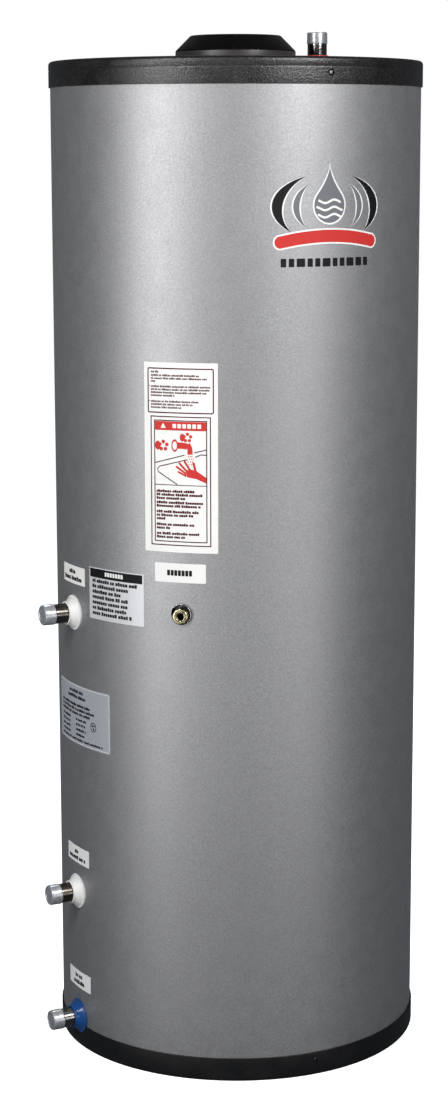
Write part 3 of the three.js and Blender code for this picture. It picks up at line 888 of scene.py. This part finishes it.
class Label:
    """One sheet on the jacket. Shapes are given as shares of it, from its top left corner."""

    def __init__(self, node):
        self.node = node
        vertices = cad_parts[node].data.vertices
        angles = [angle_of(vertex.co) for vertex in vertices]
        self.angle = (min(angles) + max(angles)) / 2
        self.width = math.radians(max(angles) - min(angles)) * JACKET_R
        self.height = high(node, Z) - low(node, Z)
        self.middle = middle(node, Z)
        self.rng = random.Random(node)

    def u(self, share):
        return (share - 0.5) * self.width

    def v(self, share):
        return (0.5 - share) * self.height

    def box(self, left, top, right, bottom, bend=0.0):
        return box(self.u(left), self.v(bottom), self.u(right), self.v(top), bend)

    def border(self, left, top, right, bottom, line, bend=0.0):
        return border(self.u(left), self.v(bottom), self.u(right), self.v(top), line, bend)

    def lines(self, left, top, widths, pitch, height, heavy=True):
        """Lines of print, given by how far each reaches, as a share of the label's width."""
        shapes = []
        for i, width in enumerate(widths):
            base = self.v(top) - height - i * pitch
            shapes += blocks(self.u(left), base, width * self.width, height, self.rng, heavy)
        return shapes

    def word(self, left, width, count, v, half, fill, bend):
        """A word of even blocks, centred on a height above the label's middle."""
        start = self.u(left)
        pitch = width * self.width / count
        ends = [(start + i * pitch, start + (i + fill) * pitch) for i in range(count)]
        return [box(u, v - half, end, v + half, bend) for u, end in ends]

    def sheet(self, material, slot, bend=1.5):
        self.slot = slot
        shape = box(-self.width / 2, -self.height / 2, self.width / 2, self.height / 2, bend)
        piece = lay(f"{self.node}_sheet", [shape], self.angle, self.middle, 0.03, 0.25)
        finish(piece, material, slot, replaces=[self.node])

    def ink(self, colour, shapes, layer=0):
        level = 0.3 + 0.06 * layer
        piece = lay(f"{self.node}_{colour}_{layer}", shapes, self.angle, self.middle, level, 0.04)
        finish(piece, colour, self.slot)


def warning_label():
    """Two framed blocks of print, the lower one under a red heading and a picture of hot water."""
    label = Label("warning_label")
    label.sheet("paper", "label_paper")
    frames = label.border(0.05, 0.028, 0.95, 0.265, 2.0, 3)
    frames += label.border(0.09, 0.28, 0.91, 0.965, 1.8)
    frames += label.border(0.14, 0.3, 0.86, 0.945, 1.7)
    upper = label.lines(0.1, 0.043, [0.13], 5, 3.6)
    for top, widths in (
        (0.062, [0.66, 0.78, 0.07]),
        (0.12, [0.81, 0.82, 0.76, 0.34]),
        (0.198, [0.66, 0.58, 0.42]),
    ):
        upper += label.lines(0.1, top, widths, 4.7, 3.2, heavy=False)
    bullets = [disc(label.u(0.078), label.v(share), 0.9, 12) for share in (0.124, 0.202)]
    label.ink("ink_maroon", frames + upper + bullets)
    band_top, band_bottom = 0.307, 0.354
    red = [label.box(0.155, band_top, 0.845, band_bottom)]
    red += tap_shapes(label) + hand_shapes(label)
    label.ink("ink_red", red)
    label.ink("ink_white", heading_shapes(label, (band_top + band_bottom) / 2), 1)
    lower = []
    for top, widths in (
        (0.668, [0.55, 0.63, 0.4]),
        (0.728, [0.66, 0.6]),
        (0.777, [0.58, 0.53, 0.14]),
        (0.845, [0.54, 0.2]),
        (0.893, [0.6, 0.4]),
    ):
        lower += label.lines(0.17, top, widths, 5.6, 4.2)
    label.ink("ink_maroon", lower + basin_shapes(label), 2)


def heading_shapes(label, share):
    """A blank warning triangle and a heading's blocks."""
    v = label.v(share)
    u = label.u(0.27)
    triangle = [(u - 4.6, v - 3.6), (u + 4.6, v - 3.6), (u, v + 4.4)]
    return [triangle] + label.word(0.4, 0.4, 6, v, 3.4, 0.72, 0.8)


def tap_shapes(label):
    """A bent spout on a wall flange, two lobed handles and falling drops."""
    u, v = label.u(0.44), label.v(0.435)
    spout = band([(u + 2, v + 1), (u + 14, v + 0.5), (u + 19, v - 0.5)], 10)
    nose = band([(u + 19.6, v + 3.2), (u + 23.2, v - 3), (u + 23.8, v - 13)], 8.5)
    flange = arc_band(u - 1.5, v + 0.5, 4.6, 1.9, 0, 360, 28, squash=1.8)
    shapes = [spout, nose, flange]
    for cu, cv, size in ((label.u(0.27), label.v(0.435), 5.0), (label.u(0.6), label.v(0.39), 4.4)):
        shapes.append(disc(cu - 1.9 * size, cv, 0.95 * size, 24, squash=1.5))
        for lobe in range(5):
            turn = math.radians(72 * lobe + 18)
            reach = 1.25 * size
            shapes.append(disc(cu + reach * math.cos(turn), cv + reach * math.sin(turn), 0.62 * size, 16))
    for row in range(4):
        for column in range(-1, 2):
            du = (column + 0.5 * (row % 2)) * (2.6 + 0.5 * row)
            drop = (u + 24 + du, v - 16 - 4.2 * row)
            shapes.append(disc(*drop, 0.8, 10, squash=1.6))
    return shapes


def hand_shapes(label):
    """A plain open hand under the drops: a palm, a wrist and five rounded fingers."""
    u, v = label.u(0.66), label.v(0.575)
    palm = [(u - 10, v + 3), (u - 4, v + 6), (u + 6, v + 4), (label.u(0.848), v - 7),
            (label.u(0.848), v - 16), (u + 7, v - 9.5), (u - 8, v - 7)]
    fingers = []
    for tip, root, wide in (
        ((-22, 1), (-9, -5.5), 3.2),
        ((-25, 9), (-9, -2), 3.4),
        ((-20.5, 14.5), (-7.5, 1.5), 3.4),
        ((-12, 17.5), (-3, 4), 3.4),
        ((2.5, 15), (5.5, 3), 4.0),
    ):
        fingers.append(band([(u + tip[0], v + tip[1]), (u + root[0], v + root[1])], wide))
        fingers.append(disc(u + tip[0], v + tip[1], wide / 2, 14))
    return [palm] + fingers


def basin_shapes(label):
    """The outline of a basin's rim, and the line under the picture."""
    wall = [(0.146, 0.528), (0.56, 0.482)]
    rim = [(0.6, 0.505), (0.22, 0.545), (0.185, 0.56), (0.2, 0.575), (0.46, 0.638)]
    shelf = [(0.69, 0.468), (0.848, 0.452)]
    inner = [(0.7, 0.492), (0.78, 0.478), (0.848, 0.48)]
    shapes = []
    for shares in (wall, rim, shelf, inner):
        shapes.append(band([(label.u(across), label.v(down)) for across, down in shares], 1.6))
    return shapes + [label.box(0.146, 0.64, 0.854, 0.6442)]


def caution_label():
    label = Label("caution_label")
    label.sheet("foil", "label_foil")
    label.ink("ink_black", [label.box(0.02, 0.02, 0.98, 0.19)])
    label.ink("ink_white", label.word(0.33, 0.34, 7, label.v(0.1), 3.4, 0.8, 0.7), 1)
    widths = [0.85, 0.68, 0.55, 0.7, 0.68, 0.65, 0.76]
    label.ink("ink_dark", label.lines(0.07, 0.215, widths, 8.9, 6.0), 2)


def control_label():
    label = Label("control_label")
    label.sheet("paper", "label_paper")
    label.ink("ink_black", label.word(0.25, 0.5, 7, 0, 4.6, 0.82, 1.0))


def side_labels():
    for node in ("supply_label", "return_label", "cold_label"):
        label = Label(node)
        label.sheet("paper", "label_paper")
        short = 0.22 if node == "return_label" else 0.34
        wide = 0.5 if node == "cold_label" else 0.84
        words = []
        for share, width in ((0.2, short), (0.58, wide)):
            words += label.lines(0.5 - width / 2, share, [width], 0, 7.2)
        label.ink("ink_black", words)


def rating_plate():
    label = Label("rating_plate")
    label.sheet("plate_foil", "label_foil", 3)
    label.ink("ink_white", label.border(0.01, 0.018, 0.99, 0.982, 0.7, 2.5))
    marks = label.lines(0.3, 0.09, [0.3], 6, 5.4)
    marks += label.lines(0.26, 0.18, [0.38], 6, 5.4)
    marks += label.lines(0.08, 0.32, [0.64, 0.7, 0.64], 7.2, 4.8)
    for row in range(4):
        marks += label.lines(0.1, 0.56 + 0.085 * row, [0.22], 6, 4.2)
        marks += label.lines(0.44, 0.56 + 0.085 * row, [0.2], 6, 4.2)
    marks.append(arc_band(label.u(0.76), label.v(0.62), 7.2, 1.6, 0, 360, 32))
    for du, dv in ((-2.4, 1.8), (2.2, 2.6), (0.2, -2.8)):
        marks.append(disc(label.u(0.76) + du, label.v(0.62) + dv, 1.9, 16))
    marks += label.lines(0.08, 0.9, [0.82], 6, 4.2)
    label.ink("ink_black", marks)


def drop_outline(u, v, radius, tip, steps=30):
    """A water drop: a round belly drawn up to a point."""
    shoulder = 38  # where the belly ends, in degrees above level
    sweep = 180 + 2 * shoulder
    points = []
    for i in range(steps + 1):
        turn = math.radians(-180 - shoulder + sweep * i / steps)
        points.append((u + radius * math.cos(turn), v + radius * math.sin(turn)))
    rise = points[-1][1]
    half = radius * math.cos(math.radians(shoulder))
    flank = []
    for i in range(1, 8):
        share = i / 8
        flank.append((half * (1 - share) ** 1.6, rise + (tip - rise) * share))
    points += [(u + out, height) for out, height in flank]
    points.append((u, tip))
    points += [(u - out, height) for out, height in reversed(flank)]
    return points


def front_emblem():
    """A plain mark of a water drop between two arcs, over a bar and a row of blocks."""
    label = Label("front_emblem")
    halo = 2.6  # width of the white edge around each shape

    def outer_arcs(edge):
        spans = ((118, 222), (62, -42))
        return [arc_band(0, 14, 88, 17 + 2 * edge, *span, 40, squash=0.62, taper=True) for span in spans]

    def inner_arcs(edge):
        spans = ((128, 226), (52, -46))
        return [arc_band(0, 16, 57, 10 + 2 * edge, *span, 30, squash=0.78, taper=True) for span in spans]

    def bar(edge):
        return arched_bar(92 + edge, -38, 19 + 2 * edge, 9)

    def drop(edge):
        return drop_outline(0, 18, 27 + edge, 78 + 2 * edge)

    def show(name, colour, shapes, level, thickness=0.04, replaces=()):
        piece = lay(f"front_emblem_{name}", shapes, label.angle, label.middle, level, thickness)
        finish(piece, colour, "emblem_film", replaces=replaces)

    show("outline", "ink_white", outer_arcs(halo) + inner_arcs(halo), 0.03, 0.05, ["front_emblem"])
    show("bar_outline", "ink_white", [bar(halo)], 0.1)
    show("drop_outline", "ink_white", [drop(halo)], 0.1)
    waves = []
    for reach, height in ((20, 24), (23.5, 13), (21, 2)):
        line = [(u, height + 2.6 * math.sin(u / 5.2)) for u in levels(-reach, reach, 2)]
        waves.append(band(line, 3.4))
    letters = []
    rng = random.Random("letters")
    u = -82
    while u < 76:
        wide = rng.choice((9, 12, 14))
        letters.append(box(u, -76, u + wide, -63, 1.2))
        u += wide + 4
    show("arcs", "ink_black", outer_arcs(0), 0.16)
    show("blocks", "ink_black", letters, 0.03)
    show("drop", "ink_grey", [drop(0)] + inner_arcs(0), 0.16)
    show("bar", "ink_red", [bar(0)], 0.16)
    show("waves", "ink_white", waves, 0.22)


def arched_bar(half, height, line, rise):
    """A bar with rounded ends that bows up by a little in the middle."""
    count = 40
    points = []
    for i in range(count + 1):
        share = 2 * i / count - 1
        points.append((share * (half - line / 2), height + rise * (1 - share**2)))
    upper = [(u, v + line / 2) for u, v in points]
    lower = [(u, v - line / 2) for u, v in reversed(points)]
    ends = []
    for sign, (u, v) in ((1, points[-1]), (-1, points[0])):
        turns = [math.radians(90 - 180 * i / 10) for i in range(1, 10)]
        if sign < 0:
            turns = [t + math.pi for t in turns]
        ends.append([(u + line / 2 * math.cos(t), v + line / 2 * math.sin(t)) for t in turns])
    return upper + ends[0] + lower + ends[1]


# ---- Inside ----
def inner_parts():
    """Procedural materials for the CAD parts that stay as they are."""
    looks = {
        "inner_steel": ["tank_shell", "tank_top_head", "tank_bottom_head", "coil_tube", "control_spud"],
        "plain_steel": ["tank_support_ring", "coil_support_1", "coil_support_2", "coil_support_3"],
        "foam": ["side_insulation", "top_insulation", "bottom_insulation"],
    }
    for look, nodes in looks.items():
        for node in nodes:
            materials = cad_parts[node].data.materials
            materials.clear()
            materials.append(MATERIALS[look])


# ---- Studio ----
VIEW_ANGLE = -28.5  # the camera stands left of the front, at this angle around the tank


def camera():
    data = bpy.data.cameras.new("camera")
    data.sensor_width = 36
    data.lens = 74.2
    data.clip_end = 50
    obj = bpy.data.objects.new("camera", data)
    distance, eye, pitch, pan, roll = 3.8722, 1.5137, 10.2, 0.307, -0.126
    turn = math.radians(VIEW_ANGLE)
    spin = Matrix.Rotation(math.radians(VIEW_ANGLE + pan), 4, "Z")
    tilt = Matrix.Rotation(math.radians(90 - pitch), 4, "X")
    lean = Matrix.Rotation(math.radians(roll), 4, "Z")
    place = Matrix.Translation((distance * math.sin(turn), -distance * math.cos(turn), eye))
    obj.matrix_world = place @ spin @ tilt @ lean
    bpy.context.scene.collection.objects.link(obj)
    bpy.context.scene.camera = obj


def softbox(name, angle, distance, height, size, power):
    """A soft area light that faces the tank at a height between its own and the tank's middle."""
    data = bpy.data.lights.new(name, "AREA")
    data.shape = "RECTANGLE"
    data.size, data.size_y = size
    data.energy = power
    obj = bpy.data.objects.new(name, data)
    turn = math.radians(VIEW_ANGLE + angle)
    spot = Vector((distance * math.sin(turn), -distance * math.cos(turn), height))
    look = (Vector((0, 0, 0.4 + height / 2)) - spot).to_track_quat("-Z", "Y")
    obj.matrix_world = Matrix.Translation(spot) @ look.to_matrix().to_4x4()
    bpy.context.scene.collection.objects.link(obj)


def studio():
    for name, angle, distance, height, size, power in (
        ("left_high", -37, 2.6, 2.5, (0.7, 0.9), 39),
        ("left_middle", -48, 2.6, 1.5, (0.6, 0.9), 15.5),
        ("left_low", -46, 2.6, 0.5, (0.6, 0.9), 13.5),
        ("right_high", 36, 2.6, 2.5, (0.7, 0.9), 53),
        ("right_side", 48, 2.6, 2.5, (0.6, 0.9), 16),
        ("right_low", 42, 2.6, 0.5, (0.8, 0.9), 7.5),
        ("front_left", -14, 2.8, 0.4, (1.0, 0.7), 5.5),
        ("front_right", 18, 2.8, 0.4, (1.0, 0.7), 4.5),
        ("front_high", 0, 2.8, 2.6, (1.0, 0.7), 4),
        ("back", 180, 3.0, 3.8, (1.2, 1.6), 70),
    ):
        softbox(name, angle, distance, height, size, power)
    world = bpy.data.worlds.new("studio")
    bpy.context.scene.world = world
    world.use_nodes = True
    nodes, links = world.node_tree.nodes, world.node_tree.links
    seen = nodes["Background"]
    seen.inputs["Color"].default_value = (1, 1, 1, 1)
    dim = nodes.new("ShaderNodeBackground")
    dim.inputs["Color"].default_value = (0.073, 0.081, 0.094, 1)
    path = nodes.new("ShaderNodeLightPath")
    mix = nodes.new("ShaderNodeMixShader")
    links.new(path.outputs["Is Camera Ray"], mix.inputs["Fac"])
    links.new(dim.outputs["Background"], mix.inputs[1])
    links.new(seen.outputs["Background"], mix.inputs[2])
    links.new(mix.outputs["Shader"], nodes["World Output"].inputs["Surface"])
    bpy.context.scene.view_settings.view_transform = "Standard"


def floor():
    """A pale round floor that runs out of sight."""
    bm = bmesh.new()
    bmesh.ops.create_circle(bm, cap_ends=True, segments=96, radius=9 / MM)
    obj = add_object("studio_floor", bm, upright(0, -0.2))
    look = Look("studio_floor", 0.9, Specular_IOR_Level=0.1)
    look.colour(look.mix(look.noise(400), rgb("f4f4f4"), rgb("fafafa")))
    look.shader.inputs["Emission Color"].default_value = (1, 1, 1, 1)
    look.shader.inputs["Emission Strength"].default_value = 0.95
    obj.data.materials.append(look.material)
    obj.visible_diffuse = False
    obj.visible_glossy = False


# ---- The whole scene ----
steel_wrap()
rear_seam()
base_pan()
top_cover()
access_lid()
screws("base_screw", "dark_screw", "screw_zinc")
screws("top_cover_screw", "black_screw", "screw_black")
side_connection("supply", SUPPLY_Z, "white", NIPPLE_START, "supply_nipple", "dark_steel")
side_connection("return", RETURN_Z, "white", NIPPLE_START, "return_nipple", "dark_steel")
side_connection("cold", COLD_Z, "blue", ELBOW_START + 0.2, "cold_inlet_pipe", "steel")
cold_elbow()
hot_connection()
control_port()
relief_port()
warning_label()
caution_label()
control_label()
side_labels()
rating_plate()
front_emblem()
inner_parts()
camera()
studio()
floor()
